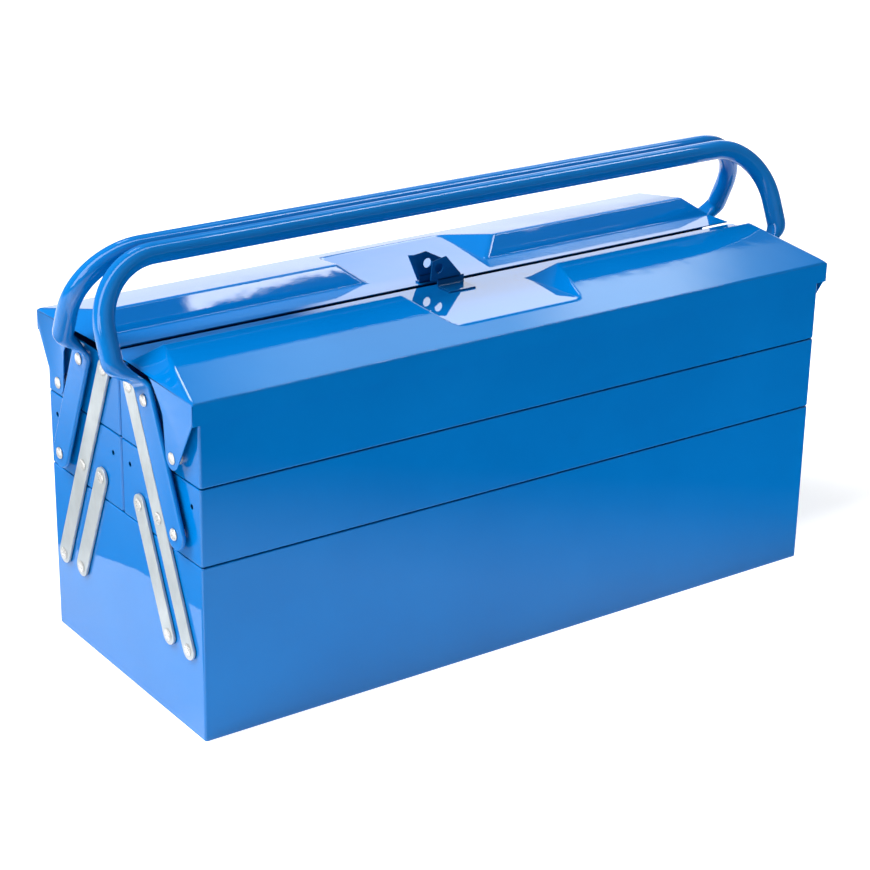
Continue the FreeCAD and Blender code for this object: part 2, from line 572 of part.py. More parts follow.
# ---------------------------------------------------------------- padlock tabs
def tab(label, outline, foot, y_face, lean_in):
    # upright plate with the padlock eye, bent up from a foot that lies on the lid
    body = doc.addObject("PartDesign::Body", label + "_body")
    sk = new_sketch(body, label + "_outline", "XZ_Plane")
    n = len(outline)
    for i in range(n):
        a, b = outline[i], outline[(i + 1) % n]
        sk.addGeometry(Part.LineSegment(V(a[0], a[1], 0), V(b[0], b[1], 0)), False)
    for i in range(n):
        sk.addConstraint(Sketcher.Constraint("Coincident", i, 2, (i + 1) % n, 1))
    for i in range(n):
        sk.addConstraint(Sketcher.Constraint("Block", i))
    bound_circle(sk, dim("eye_x"), dim("eye_z") - dim("floor_z"), dim("eye_dia"),
                 "-Sizes.eye_x", "Sizes.eye_z - Sizes.floor_z", "Sizes.eye_dia")
    up = body.newObject("PartDesign::Pad", label + "_upright")
    up.Profile = sk
    bind(up, Length="Sizes.tab_thick")
    doc.recompute()
    fs = new_sketch(body, label + "_foot_plan", "XY_Plane")
    x0, x1, y0, y1 = foot
    p = [V(x0, y0, 0), V(x1, y0, 0), V(x1, y1, 0), V(x0, y1, 0)]
    for i in range(4):
        fs.addGeometry(Part.LineSegment(p[i], p[(i + 1) % 4]), False)
    for i in range(4):
        fs.addConstraint(Sketcher.Constraint("Coincident", i, 2, (i + 1) % 4, 1))
    for i in range(4):
        fs.addConstraint(Sketcher.Constraint("Block", i))
    ft = body.newObject("PartDesign::Pad", label + "_foot")
    ft.Profile = fs
    bind(ft, Length="Sizes.tab_thick")
    doc.recompute()
    at(body, "0", y_face, "Sizes.floor_z")
    return body


TT = dim("tab_thick")
# the front tab: local y = 0 is its front face pushed back by its own sheet
front_out = [(-15.0, 0.0), (3.6, 0.0), (3.6, 4.6), (5.2, 7.0), (-7.8, 22.2), (-19.8, 20.0), (-21.0, 5.8), (-15.0, 4.8)]
rear_out = [(-21.0, 0.0), (-3.0, 0.0), (3.0, 5.2), (2.0, 14.3), (-3.6, 17.2), (-15.6, 23.4), (-25.6, 22.0), (-28.6, 21.4), (-22.6, 5.8)]
keep(tab("front_padlock_tab", front_out, (-15.0, 7.8, -15.8, 0.0), "-Sizes.front_tab_y + Sizes.tab_thick", 0), "front_padlock_tab")
keep(tab("rear_padlock_tab", rear_out, (-21.0, -5.0, -TT, 14.0), "Sizes.rear_tab_y + Sizes.tab_thick", 0), "rear_padlock_tab")


# ---------------------------------------------------------------- handles
def bow(rad, low):
    # round bar: two straight legs, two quarter bends and the grip, in one plane
    leg, top, bend = dim("leg_x"), dim("grip_reach"), dim("handle_bend")
    z1 = top - bend
    out = Part.makeCylinder(rad, 2 * (leg - bend), V(-(leg - bend), 0, top), V(1, 0, 0))
    for m in (-1, 1):
        out = out.fuse(Part.makeCylinder(rad, z1 - low, V(m * leg, 0, low), V(0, 0, 1)))
        disc = Part.Face(Part.Wire([Part.Circle(V(m * leg, 0, z1), V(0, 0, 1), rad).toShape()]))
        out = out.fuse(disc.revolve(V(m * (leg - bend), 0, z1), V(0, -m, 0), 90))
    return out.removeSplitter()


def quarter_arcs(cx, r, s):
    # circle in four arcs whose ends lie on the diagonals
    k = r * math.sqrt(0.5)
    c = [V(cx - k, -k, s), V(cx + k, -k, s), V(cx + k, k, s), V(cx - k, k, s)]
    m = [V(cx, -r, s), V(cx + r, 0, s), V(cx, r, s), V(cx - r, 0, s)]
    return Part.Wire([Part.Arc(c[i], m[i], c[(i + 1) % 4]).toShape() for i in range(4)])


def rectangle(cx, ht, hw, s):
    c = [V(cx - ht, -hw, s), V(cx + ht, -hw, s), V(cx + ht, hw, s), V(cx - ht, hw, s)]
    return Part.Wire([Part.LineSegment(c[i], c[(i + 1) % 4]).toShape() for i in range(4)])


def handle_solids():
    # the bent tube, and at each end the set-in neck and the bar to which its legs are pressed flat;
    # the five solids meet face to face
    r = dim("tube_dia") / 2
    leg = dim("leg_x")
    s0, s1 = dim("joggle_start"), dim("joggle_end")
    # the bore of the tube is closed at both ends where the pressing starts
    out = [bow(r, s1).cut(bow(r - dim("tube_wall"), s1 + 2.0))]
    bt, bw = dim("bar_thick") / 2, dim("bar_width") / 2
    xin = L / 2 + dim("bar_stand") + bt
    n = math.hypot(dim("link_run"), dim("link_rise"))
    for m in (-1, 1):
        out.append(Part.makeLoft([rectangle(m * xin, bt, bw, s0), quarter_arcs(m * leg, r, s1)], True, True))
        # flat bar with a round end and its two rivet holes
        bar = Part.makeBox(2 * bt, 2 * bw, s0, V(m * xin - bt, -bw, 0))
        bar = bar.fuse(Part.makeCylinder(bw, 2 * bt, V(m * xin - bt, 0, 0), V(1, 0, 0))).removeSplitter()
        bar = bar.cut(Part.makeCylinder(dim("loose_hole") / 2, 20, V(m * xin - 10, 0, 0), V(1, 0, 0)))
        out.append(bar.cut(Part.makeCylinder(dim("pivot_hole") / 2, 20, V(m * xin - 10, 0, n), V(1, 0, 0))))
    if any(len(p.Solids) != 1 for p in out):
        raise RuntimeError("handle solids: " + str([len(p.Solids) for p in out]))
    return [p.Solids[0] for p in out]


lean = math.degrees(math.atan2(dim("link_run"), dim("link_rise")))
hs = handle_solids()
for half, sgn in HALVES:
    o = doc.addObject("Part::Feature", half + "_handle_bow")
    o.Shape = Part.makeCompound([p.copy() for p in hs])
    o.Placement = FreeCAD.Placement(V(0, sgn * HAND1, MID_Z), FreeCAD.Rotation(V(1, 0, 0), sgn * lean))
    keep(o, half + "_handle")

# ---------------------------------------------------------------- check and write
doc.recompute()
bad = [o.Name for o in doc.Objects if any(s in ("Invalid", "Error") for s in o.State)]
if bad:
    raise RuntimeError("failed objects: " + ", ".join(bad))
for o in PARTS:
    if o.Shape.isNull() or not o.Shape.isValid() or not o.Shape.Solids:
        raise RuntimeError("bad shape: " + o.Label)
os.makedirs("parts", exist_ok=True)
total = 0.0
for o in PARTS:
    o.Shape.exportStep(os.path.join("parts", o.Label + ".step"))
    bb = o.Shape.BoundBox
    total += o.Shape.Volume
    print("%-30s solids %2d  vol %9.0f  x %7.1f..%7.1f  y %7.1f..%7.1f  z %6.1f..%6.1f" % (
        o.Label, len(o.Shape.Solids), o.Shape.Volume, bb.XMin, bb.XMax, bb.YMin, bb.YMax, bb.ZMin, bb.ZMax))
print("parts", len(PARTS), "steel mass kg", round(total * 7.85e-6, 3))
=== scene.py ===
import bpy, bmesh, math
from mathutils import Matrix, Vector


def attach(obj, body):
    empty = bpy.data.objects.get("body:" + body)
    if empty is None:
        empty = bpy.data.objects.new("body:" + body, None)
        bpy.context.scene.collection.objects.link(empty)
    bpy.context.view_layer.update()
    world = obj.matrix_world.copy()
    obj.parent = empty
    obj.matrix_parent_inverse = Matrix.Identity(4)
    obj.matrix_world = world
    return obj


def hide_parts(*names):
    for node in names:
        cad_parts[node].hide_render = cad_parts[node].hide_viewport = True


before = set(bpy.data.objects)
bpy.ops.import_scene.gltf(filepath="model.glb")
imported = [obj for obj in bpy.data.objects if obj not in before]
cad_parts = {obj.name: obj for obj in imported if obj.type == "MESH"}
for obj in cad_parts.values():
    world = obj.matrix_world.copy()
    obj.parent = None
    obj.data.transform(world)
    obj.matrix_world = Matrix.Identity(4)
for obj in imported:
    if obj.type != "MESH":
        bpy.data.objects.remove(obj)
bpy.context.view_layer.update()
scene = bpy.context.scene
scene.view_settings.view_transform = "Standard"
scene.view_settings.look = "None"

MM = 0.001
LEAN = math.atan2(35.5, 81.0)
HALVES = (("front", -1), ("rear", 1))


# ------------------------------------------------------------------ materials
class Net:
    """Small helper to write node trees."""

    def __init__(self, name):
        self.mat = bpy.data.materials.new(name)
        self.mat.use_nodes = True
        self.t = self.mat.node_tree
        self.t.nodes.clear()
        self.out = self.t.nodes.new("ShaderNodeOutputMaterial")
        self.bsdf = self.t.nodes.new("ShaderNodeBsdfPrincipled")
        self.t.links.new(self.bsdf.outputs["BSDF"], self.out.inputs["Surface"])
        self.coord = self.t.nodes.new("ShaderNodeTexCoord").outputs["Object"]

    def node(self, kind, **sockets):
        n = self.t.nodes.new(kind)
        for k, v in sockets.items():
            self.put(n, k.replace("_", " "), v)
        return n

    def put(self, n, key, v):
        s = n.inputs[key]
        if isinstance(v, bpy.types.NodeSocket):
            self.t.links.new(v, s)
        else:
            s.default_value = v

    def noise(self, scale, detail=2.0, rough=0.5, vec=None):
        n = self.t.nodes.new("ShaderNodeTexNoise")
        n.inputs["Scale"].default_value = scale
        n.inputs["Detail"].default_value = detail
        n.inputs["Roughness"].default_value = rough
        self.t.links.new(vec or self.coord, n.inputs["Vector"])
        return n.outputs["Fac"]

    def mapping(self, scale=(1, 1, 1), rot=(0, 0, 0)):
        n = self.t.nodes.new("ShaderNodeMapping")
        n.inputs["Scale"].default_value = scale
        n.inputs["Rotation"].default_value = rot
        self.t.links.new(self.coord, n.inputs["Vector"])
        return n.outputs["Vector"]

    def ramp(self, fac, stops):
        n = self.t.nodes.new("ShaderNodeValToRGB")
        el = n.color_ramp.elements
        while len(el) < len(stops):
            el.new(0.5)
        for e, (p, c) in zip(el, stops):
            e.position = p
            e.color = (*c, 1.0) if len(c) == 3 else c
        self.t.links.new(fac, n.inputs["Fac"])
        return n.outputs["Color"]

    def span(self, fac, lo, hi, a=0.0, b=1.0):
        n = self.t.nodes.new("ShaderNodeMapRange")
        n.inputs["From Min"].default_value = a
        n.inputs["From Max"].default_value = b
        n.inputs["To Min"].default_value = lo
        n.inputs["To Max"].default_value = hi
        self.t.links.new(fac, n.inputs["Value"])
        return n.outputs["Result"]

    def mix(self, fac, a, b, mode="MIX"):
        n = self.t.nodes.new("ShaderNodeMix")
        n.data_type = "RGBA"
        n.blend_type = mode
        for key, v in ((0, fac), (6, a), (7, b)):
            s = n.inputs[key]
            if isinstance(v, bpy.types.NodeSocket):
                self.t.links.new(v, s)
            else:
                s.default_value = v
        return n.outputs[2]

    def math(self, op, a, b):
        n = self.t.nodes.new("ShaderNodeMath")
        n.operation = op
        for i, v in enumerate((a, b)):
            if isinstance(v, bpy.types.NodeSocket):
                self.t.links.new(v, n.inputs[i])
            else:
                n.inputs[i].default_value = v
        return n.outputs[0]

    def bump(self, height, distance, strength=1.0, below=None):
        n = self.t.nodes.new("ShaderNodeBump")
        n.inputs["Strength"].default_value = strength
        n.inputs["Distance"].default_value = distance
        self.t.links.new(height, n.inputs["Height"])
        if below is not None:
            self.t.links.new(below, n.inputs["Normal"])
        return n.outputs["Normal"]


PAINT_LO, PAINT_MID, PAINT_HI = (0.0000, 0.142, 0.458), (0.0000, 0.150, 0.477), (0.0005, 0.158, 0.496)


def paint(name, wave=1.0, depth=1.0):
    m = Net(name)
    b = m.bsdf
    tone = m.noise(9.0, 3.0, 0.55)
    # depth scales the whole colour; below 1 it makes a darker copy of the enamel, which paints shade in
    stops = [(q, tuple(depth * c for c in col)) for q, col in ((0.30, PAINT_LO), (0.52, PAINT_MID), (0.74, PAINT_HI))]
    m.put(b, "Base Color", m.ramp(tone, stops))
    m.put(b, "Roughness", m.span(m.noise(55.0, 4.0, 0.6), 0.30, 0.44))
    b.inputs["Specular IOR Level"].default_value = 0.0
    b.inputs["Coat Weight"].default_value = 1.0
    b.inputs["Coat Roughness"].default_value = 0.02
    b.inputs["Coat IOR"].default_value = 1.45
    # sheet that is not quite flat, then the fine orange peel of the sprayed enamel
    n1 = m.bump(m.noise(13.0, 1.0, 0.4), 0.00030 * wave)
    n2 = m.bump(m.noise(78.0, 1.5, 0.5), 0.000022 * wave, below=n1)
    n3 = m.bump(m.noise(820.0, 2.0, 0.5), 0.0000022, below=n2)
    m.put(b, "Normal", n3)
    m.put(b, "Coat Normal", n3)
    return m.mat


def zinc(name, rot):
    m = Net(name)
    b = m.bsdf
    b.inputs["Metallic"].default_value = 0.55
    along = m.mapping((900.0, 900.0, 14.0), (rot, 0.0, 0.0))
    streak = m.noise(1.0, 4.0, 0.65, along)
    cloud = m.noise(45.0, 3.0, 0.6)
    base = m.ramp(cloud, [(0.25, (0.43, 0.48, 0.51)), (0.55, (0.50, 0.55, 0.58)), (0.8, (0.57, 0.62, 0.65))])
    warm = m.ramp(streak, [(0.35, (0.84, 0.81, 0.76)), (0.6, (0.96, 0.96, 0.96))])
    m.put(b, "Base Color", m.mix(0.55, base, warm, "MULTIPLY"))
    m.put(b, "Roughness", m.span(streak, 0.30, 0.50, 0.3, 0.7))
    b.inputs["Anisotropic"].default_value = 0.3
    n1 = m.bump(streak, 0.000010)
    m.put(b, "Normal", n1)
    return m.mat


def rivet_steel(name):
    m = Net(name)
    b = m.bsdf
    b.inputs["Metallic"].default_value = 0.6
    cloud = m.noise(620.0, 3.0, 0.6)
    m.put(b, "Base Color", m.ramp(cloud, [(0.3, (0.52, 0.52, 0.51)), (0.7, (0.70, 0.70, 0.69))]))
    m.put(b, "Roughness", m.span(m.noise(900.0, 2.0, 0.5), 0.20, 0.38))
    m.put(b, "Normal", m.bump(m.noise(480.0, 2.0, 0.5), 0.000030))
    return m.mat


PAINT = paint("blue_enamel")
PAINT_TUBE = paint("blue_enamel_tube", 0.15)
# the tabs' enamel is the same paint darkened to 0.70: painted shade for the shade the handle above casts on the tabs
PAINT_TAB_SHADED = paint("blue_enamel_tab_shaded", 0.15, 0.70)
ZINC = {"front": zinc("zinc_front", -LEAN), "rear": zinc("zinc_rear", LEAN)}
STEEL = rivet_steel("rivet_steel")


# ------------------------------------------------------------------ mesh helpers
def link_in(ob):
    scene.collection.objects.link(ob)
    return ob


def from_bm(bm, name, mats):
    bmesh.ops.remove_doubles(bm, verts=bm.verts, dist=1e-6)
    bmesh.ops.recalc_face_normals(bm, faces=bm.faces)
    me = bpy.data.meshes.new(name)
    bm.to_mesh(me)
    bm.free()
    for mt in mats if isinstance(mats, (list, tuple)) else [mats]:
        me.materials.append(mt)
    for p in me.polygons:
        p.use_smooth = True
    return link_in(bpy.data.objects.new(name, me))


def bake(ob, sharp=None):
    """Applies the modifiers to the mesh."""
    deps = bpy.context.evaluated_depsgraph_get()
    me = bpy.data.meshes.new_from_object(ob.evaluated_get(deps), preserve_all_data_layers=True, depsgraph=deps)
    old = ob.data
    ob.modifiers.clear()
    ob.data = me
    me.name = ob.name
    bpy.data.meshes.remove(old)
    for p in me.polygons:
        p.use_smooth = True
    if sharp is not None:
        me.set_sharp_from_angle(angle=math.radians(sharp))
    return ob


def mod(ob, kind, **kw):
    m = ob.modifiers.new(kind.lower(), kind)
    for k, v in kw.items():
        setattr(m, k, v)
    return m


def weighted(ob):
    mod(ob, "WEIGHTED_NORMAL", mode="FACE_AREA", weight=50, thresh=0.01, keep_sharp=True)


def finish_piece(ob, body, slot, *nodes):
    if nodes:
        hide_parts(*nodes)
    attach(ob, body)
    return ob


def arc(cx, cy, r, a0, a1, n):
    return [(cx + r * math.cos(math.radians(a0 + (a1 - a0) * i / n)),
             cy + r * math.sin(math.radians(a0 + (a1 - a0) * i / n))) for i in range(n + 1)]


# ------------------------------------------------------------------ folded boxes
def rounded_ring(bm, hx, y0, y1, r, z, inset, seg=5):
    """Ring of a rectangle with round corners, set in by inset."""
    r = max(r - inset, 0.25)
    x = hx - inset
    lo, hi = y0 + inset, y1 - inset
    pts = (arc(x - r, hi - r, r, 0, 90, seg) + arc(-x + r, hi - r, r, 90, 180, seg)
           + arc(-x + r, lo + r, r, 180, 270, seg) + arc(x - r, lo + r, r, 270, 360, seg))
    return [bm.verts.new((px * MM, py * MM, z * MM)) for px, py in pts]


def folded_box(name, y0, y1, z0, z1, body, node, hang=None):
    """Box folded from sheet: round bottom folds, upright folds, flat hem turned in round the rim."""
    T, HEM, RB, RC = 0.8, 4.4, 1.0, 2.0
    hx = 265.0
    prof = [(6.0, z0)]
    for i in range(6):
        a = math.radians(90 * i / 5)
        prof.append((RB * (1 - math.sin(a)), z0 + RB * (1 - math.cos(a))))
    prof += [(0.0, z0 + 0.5 * (z1 - z0)), (0.0, z1 - T)]
    for i in range(1, 8):
        a = math.radians(180 * i / 8)
        prof.append((T - T * math.cos(a), z1 - T + T * math.sin(a)))
    prof += [(2 * T, z1 - T), (2 * T, z1 - HEM + 0.25), (2 * T - 0.08, z1 - HEM + 0.07), (2 * T - 0.25, z1 - HEM),
             (T + 0.02, z1 - HEM), (T, z1 - HEM - 0.02), (T, z0 + 0.5 * (z1 - z0))]
    ri = RB - T
    for i in range(5):
        a = math.radians(90 * i / 4)
        prof.append((T + ri * (1 - math.cos(a)), z0 + T + ri * (1 - math.sin(a))))
    prof.append((6.0, z0 + T))
    bm = bmesh.new()
    rings = [rounded_ring(bm, hx, y0, y1, RC, z, d) for d, z in prof]
    n = len(rings[0])
    for a, b in zip(rings, rings[1:]):
        for i in range(n):
            bm.faces.new((a[i], a[(i + 1) % n], b[(i + 1) % n], b[i]))
    bm.faces.new(list(reversed(rings[0])))
    bm.faces.new(rings[-1])
    ob = from_bm(bm, name, PAINT)

    # relief cuts at the corners of the blank, and the small hanging holes in the ends
    cb = bmesh.new()
    yc = 0.5 * (y0 + y1)
    for sx in (-1, 1):
        for sy, ye in ((-1, y0), (1, y1)):
            for zc, hz, w in ((z0, 0.9, 2.0), (z1, 1.1, 2.6)):
                bmesh.ops.create_cube(cb, size=1.0, matrix=Matrix.Translation((sx * 265.0 * MM, ye * MM, zc * MM))
                                      @ Matrix.Rotation(math.radians(45), 4, "Z")
                                      @ Matrix.Diagonal((w * MM, w * MM, 2 * hz * MM, 1.0)))
        if hang:
            for sy in (-1, 1):
                bmesh.ops.create_cone(cb, cap_ends=True, segments=28, radius1=1.9 * MM, radius2=1.9 * MM, depth=6 * MM,
                                      matrix=Matrix.Translation((sx * 265.0 * MM, (yc + sy * 41.4) * MM, (z0 + hang) * MM))
                                      @ Matrix.Rotation(math.radians(90), 4, "Y"))
    cut = from_bm(cb, name + "_cut", PAINT)
    mod(ob, "BOOLEAN", operation="DIFFERENCE", object=cut, solver="EXACT")
    mod(ob, "BEVEL", width=0.12 * MM, segments=1, limit_method="ANGLE", angle_limit=math.radians(60), use_clamp_overlap=True)
    weighted(ob)
    bake(ob, 40)
    bpy.data.objects.remove(cut)
    return finish_piece(ob, body, "blue_paint", node)


folded_box("base_shell", -106.0, 106.0, 0.0, 126.2, "base", "base_box")
for half, sg in HALVES:
    ys = sorted((sg * 0.5, sg * 106.0))
    folded_box(half + "_middle_shell", ys[0], ys[1], 126.95, 181.0, half + "_middle", half + "_middle_tray", 39.05)
    folded_box(half + "_upper_shell", ys[0], ys[1], 181.75, 233.0, half + "_upper", half + "_upper_tray", 39.05)


# ------------------------------------------------------------------ lids
LIP_V, LIP_TOP, LIP_LOW = 108.4, 241.4, 226.1
RIDGE_V, RIDGE_Z, RIDGE_X, RIDGE_XI = 39.7, 257.2, 253.0, 67.8
FOOT_V, FLOOR_Z, EDGE_V, END_X = 24.3, 244.0, 2.7, 270.4
REC_X, RIM_V = 51.5, 88.0


def outer_z(v):
    return LIP_TOP + (LIP_V - v) * (RIDGE_Z - LIP_TOP) / (LIP_V - RIDGE_V)


def lid(half, sg):
    bm = bmesh.new()
    wt = bm.edges.layers.float.new("bevel_weight_edge")
    FULL = 6.0                                      # bevel width at weight 1, in mm
    cache = {}

    def v(x, w, z):
        key = (round(x, 4), round(w, 4), round(z, 4))
        if key not in cache:
            cache[key] = bm.verts.new((x * MM * (1 if sg > 0 else -1), sg * w * MM, z * MM))
        return cache[key]

    def face(pts):
        return bm.faces.new([v(*p) for p in pts])

    def crease(a, b, width):
        e = bm.edges.get((v(*a), v(*b)))
        if e is None:
            raise RuntimeError("no crease %s %s" % (a, b))
        e[wt] = width / FULL

    run = (RIDGE_XI - REC_X) / (RIDGE_Z - FLOOR_Z)
    zw = outer_z(RIM_V)
    xw = REC_X + run * (zw - FLOOR_Z)
    W = Vector((xw, RIM_V, zw))
    along = (Vector((RIDGE_XI, RIDGE_V, RIDGE_Z)) - W).normalized()
    W1, W2 = W + along * 6.0, W + Vector((-6.0, 0.0, 0.0))
    Wm = W + (W1 - W) * 0.27 + (W2 - W) * 0.27
    P = W + (Vector((REC_X, FOOT_V, FLOOR_Z)) - W).normalized() * 9.0
    W1, W2, Wm, P = (tuple(q) for q in (W1, W2, Wm, P))
    A, B, Q = (END_X, EDGE_V, FLOOR_Z), (END_X, FOOT_V, FLOOR_Z), (REC_X, FOOT_V, FLOOR_Z)
    I, R = (RIDGE_XI, RIDGE_V, RIDGE_Z), (RIDGE_X, RIDGE_V, RIDGE_Z)
    E, L = (END_X, LIP_V, LIP_TOP), (END_X, LIP_V, LIP_LOW)
    F = (W2[0], LIP_V, LIP_TOP)
    ear = [(LIP_V - 0.9, LIP_TOP - 1.2), (LIP_V - 1.5, LIP_LOW + 0.6), (104.9, 223.4)]
    ear += [(80 + 8.0 * math.cos(math.radians(a)), 195.5 + 8.0 * math.sin(math.radians(a)))
            for a in [-28 - 152.0 * k / 16 for k in range(17)]]
    ear += [(69.5, 221.5), (66.2, 227.0), (62.0, 232.0), (58.8, 236.0), (55.5, 239.5), (53.2, 241.0), (50.5, 241.9), (40.0, 242.3),
            (27.0, 243.15), (EDGE_V, 243.15)]

    def mir(p, m):
        return (m * p[0],) + tuple(p[1:])

    face([mir(Q, -1), Q, P, W2, mir(W2, -1), mir(P, -1)])
    face([mir(A, -1), A, B, Q, mir(Q, -1), mir(B, -1)])
    face([W2, F, mir(F, -1), mir(W2, -1)])
    face([mir(L, -1), L, E, F, mir(F, -1), mir(E, -1)])
    for m in (-1, 1):
        M = lambda p: mir(p, m)
        face([M(Q), M(I), M(W1), M(P)])
        face([M(P), M(W1), M(Wm)])
        face([M(P), M(Wm), M(W2)])
        face([M(I), M(R), M(E), M(F), M(W2), M(Wm), M(W1)])
        face([M(Q), M(B), M(R), M(I)])
        face([M(B), M(E), M(R)])
        face([M(A), M(B), M(E)] + [(m * END_X, a, b) for a, b in ear])
    for m in (-1, 1):
        M = lambda p: mir(p, m)
        crease(M(I), M(R), 1.8)
        crease(M(Q), M(I), 3.0)
        crease(M(I), M(W1), 1.4)
        crease(M(W1), M(Wm), 1.2)
        crease(M(Wm), M(W2), 1.6)
        crease(M(Q), M(P), 1.4)
        crease(M(Q), M(B), 1.6)
        crease(M(R), M(E), 2.0)
        crease(M(R), M(B), 1.8)
        crease(M(B), M(E), 1.6)
        crease(M(A), M(B), 0.5)
        crease(M(E), M(F), 1.4)
    crease(W2, mir(W2, -1), 3.2)
    crease(F, mir(F, -1), 1.4)
    ob = from_bm(bm, half + "_lid_skin", PAINT)
    mod(ob, "BEVEL", width=FULL * MM, segments=5, limit_method="WEIGHT", offset_type="OFFSET", use_clamp_overlap=False,
        miter_outer="MITER_SHARP", profile=0.5)
    mod(ob, "SOLIDIFY", thickness=0.8 * MM, offset=-1.0, use_even_offset=True, use_rim=True)
    mod(ob, "BEVEL", width=0.16 * MM, segments=2, limit_method="ANGLE", angle_limit=math.radians(70), use_clamp_overlap=True)
    weighted(ob)
    bake(ob, 50)
    return finish_piece(ob, half + "_lid", "blue_paint", half + "_lid")


for half, sg in HALVES:
    lid(half, sg)


# ------------------------------------------------------------------ handles
def handle(half, sg):
    """Bent tube whose legs are set in by a long curve and pressed flat where they are riveted."""
    LEG, TOP, BEND, RAD = 286.8, 180.2, 46.0, 7.3
    BAR_X, BAR_W, BAR_T, S0, S1 = 269.3, 11.0, 1.7, 93.0, 118.5
    NE, NF = 14, 8                                  # points round each edge and across each face

    def smooth(t):
        t = max(0.0, min(1.0, t))
        return t * t * t * (t * (6 * t - 15) + 10)

    def place(x, w, s):
        y = -81.0 + w * math.cos(LEAN) + s * math.sin(LEAN)
        z = 143.0 - w * math.sin(LEAN) + s * math.cos(LEAN)
        return (x * MM, (y if sg < 0 else -y) * MM, z * MM)

    def section(a, b):
        """Half thickness a, half width b: faces with full-round edges, a little dished when pressed flat."""
        b = max(b, a + 0.02)
        flat = b - a
        dish = 0.22 * min(1.0, flat / 9.0)
        pts = [(a * math.sin(t), flat + a * math.cos(t)) for t in
               [math.radians(-90 + 180.0 * i / NE) for i in range(NE + 1)]]
        pts += [(a - dish * (1 - (2 * i / NF - 1) ** 2), flat - 2 * flat * i / NF) for i in range(1, NF)]
        pts += [(a * math.sin(t), -flat + a * math.cos(t)) for t in
                [math.radians(90 + 180.0 * i / NE) for i in range(NE + 1)]]
        pts += [(-a + dish * (1 - (2 * i / NF - 1) ** 2), -flat + 2 * flat * i / NF) for i in range(1, NF)]
        return pts

    stations = []                                   # centre x, centre s, tangent (x, s), half thickness, half width
    for k in range(16, 0, -1):                      # round foot of the bar
        g = math.radians(90 * k / 16)
        wide = max(BAR_W * math.cos(g), 0.6)
        stations.append((-BAR_X, -BAR_W * math.sin(g), (0.0, 1.0), min(BAR_T, 0.45 + 0.62 * wide), wide))
    for s in (0, 8, 20, 35, 50, 65, 78, 84, 88):
        stations.append((-BAR_X, float(s), (0.0, 1.0), BAR_T, BAR_W))
    for i in range(37):
        t = i / 36
        s = S0 + (S1 - S0) * t
        dk = 30 * t * t * (1 - t) ** 2 / (S1 - S0) * (BAR_X - LEG)
        tl = math.hypot(dk, 1.0)
        thick = BAR_T + (RAD - BAR_T) * smooth((s - 98.5) / 20.0)
        wide = BAR_W + (RAD - BAR_W) * smooth((s - 93.5) / 13.0)
        stations.append((-(BAR_X + (LEG - BAR_X) * smooth(t)), s, (dk / tl, 1.0 / tl), thick, wide))
    stations.append((-LEG, 0.5 * (S1 + TOP - BEND), (0.0, 1.0), RAD, RAD))
    for i in range(19):
        g = math.radians(90 * i / 18)
        stations.append((-LEG + BEND - BEND * math.cos(g), TOP - BEND + BEND * math.sin(g), (math.sin(g), math.cos(g)), RAD, RAD))
    for x in (-200, -150, -100, -50, 0):
        stations.append((float(x), TOP, (1.0, 0.0), RAD, RAD))
    full = stations + [(-x, s, (tx, -ts), a, b) for x, s, (tx, ts), a, b in reversed(stations[:-1])]

    bm = bmesh.new()
    rings = []
    for x, s, (tx, ts), a, b in full:
        nx, ns = ts, -tx                            # across the tube, in the plane of the bow
        rings.append([bm.verts.new(place(x + nx * q, w, s + ns * q)) for q, w in section(a, b)])
    n = len(rings[0])
    for a, b in zip(rings, rings[1:]):
        for i in range(n):
            bm.faces.new((a[i], a[(i + 1) % n], b[(i + 1) % n], b[i]))
    bm.faces.new(list(reversed(rings[0])))
    bm.faces.new(rings[-1])
    ob = from_bm(bm, half + "_handle_tube", PAINT_TUBE)
    ob.data.set_sharp_from_angle(angle=math.radians(50))
    return finish_piece(ob, half + "_handle", "blue_paint", half + "_handle")


for half, sg in HALVES:
    handle(half, sg)


# ------------------------------------------------------------------ links
def flat_bar(name, sg, side, v0, count, body, node, mat):
    """Flat link with full-round ends and softly rounded edges."""
    length = (count - 1) * math.hypot(35.5, 81.0)
    R = 7.2
    xi, xo = 265.5, 267.5
    outline = arc(0, 0, R, 180, 360, 20) + arc(0, length, R, 0, 180, 20)
    bm = bmesh.new()
    prof = [(0.0, 0.35), (0.12, 0.12), (0.35, 0.0)]          # (set in from the face, set in from the edge)

    def put(x, u, s):
        vv = v0 + u * math.cos(LEAN) - s * math.sin(LEAN)
        z = 62.0 + u * math.sin(LEAN) + s * math.cos(LEAN)
        return bm.verts.new((side * x * MM, sg * vv * MM, z * MM))

    rings = []
    for dx, inset in prof + [(2.0 - a, b) for a, b in reversed(prof)]:
        k = (R - inset) / R
        ring = []
        for u, s in outline:
            sc = 0.0 if s <= length / 2 else length
            ring.append(put(xi + dx, u * k, sc + (s - sc) * k))
        rings.append(ring)
    n = len(outline)
    for a, b in zip(rings, rings[1:]):
        for i in range(n):
            bm.faces.new((a[i], a[(i + 1) % n], b[(i + 1) % n], b[i]))
    bm.faces.new(list(reversed(rings[0])))
    bm.faces.new(rings[-1])
    ob = from_bm(bm, name, mat)
    weighted(ob)
    bake(ob)
    return finish_piece(ob, body, "zinc_link", node)


for half, sg in HALVES:
    for side_name, side in (("left", -1), ("right", 1)):
        k = "%s_%s" % (half, side_name)
        flat_bar(k + "_long_bar", sg, side, 89.0, 3, half + "_long_links", k + "_long_link", ZINC[half])
        flat_bar(k + "_short_bar", sg, side, 62.5, 2, half + "_short_links", k + "_short_link", ZINC[half])


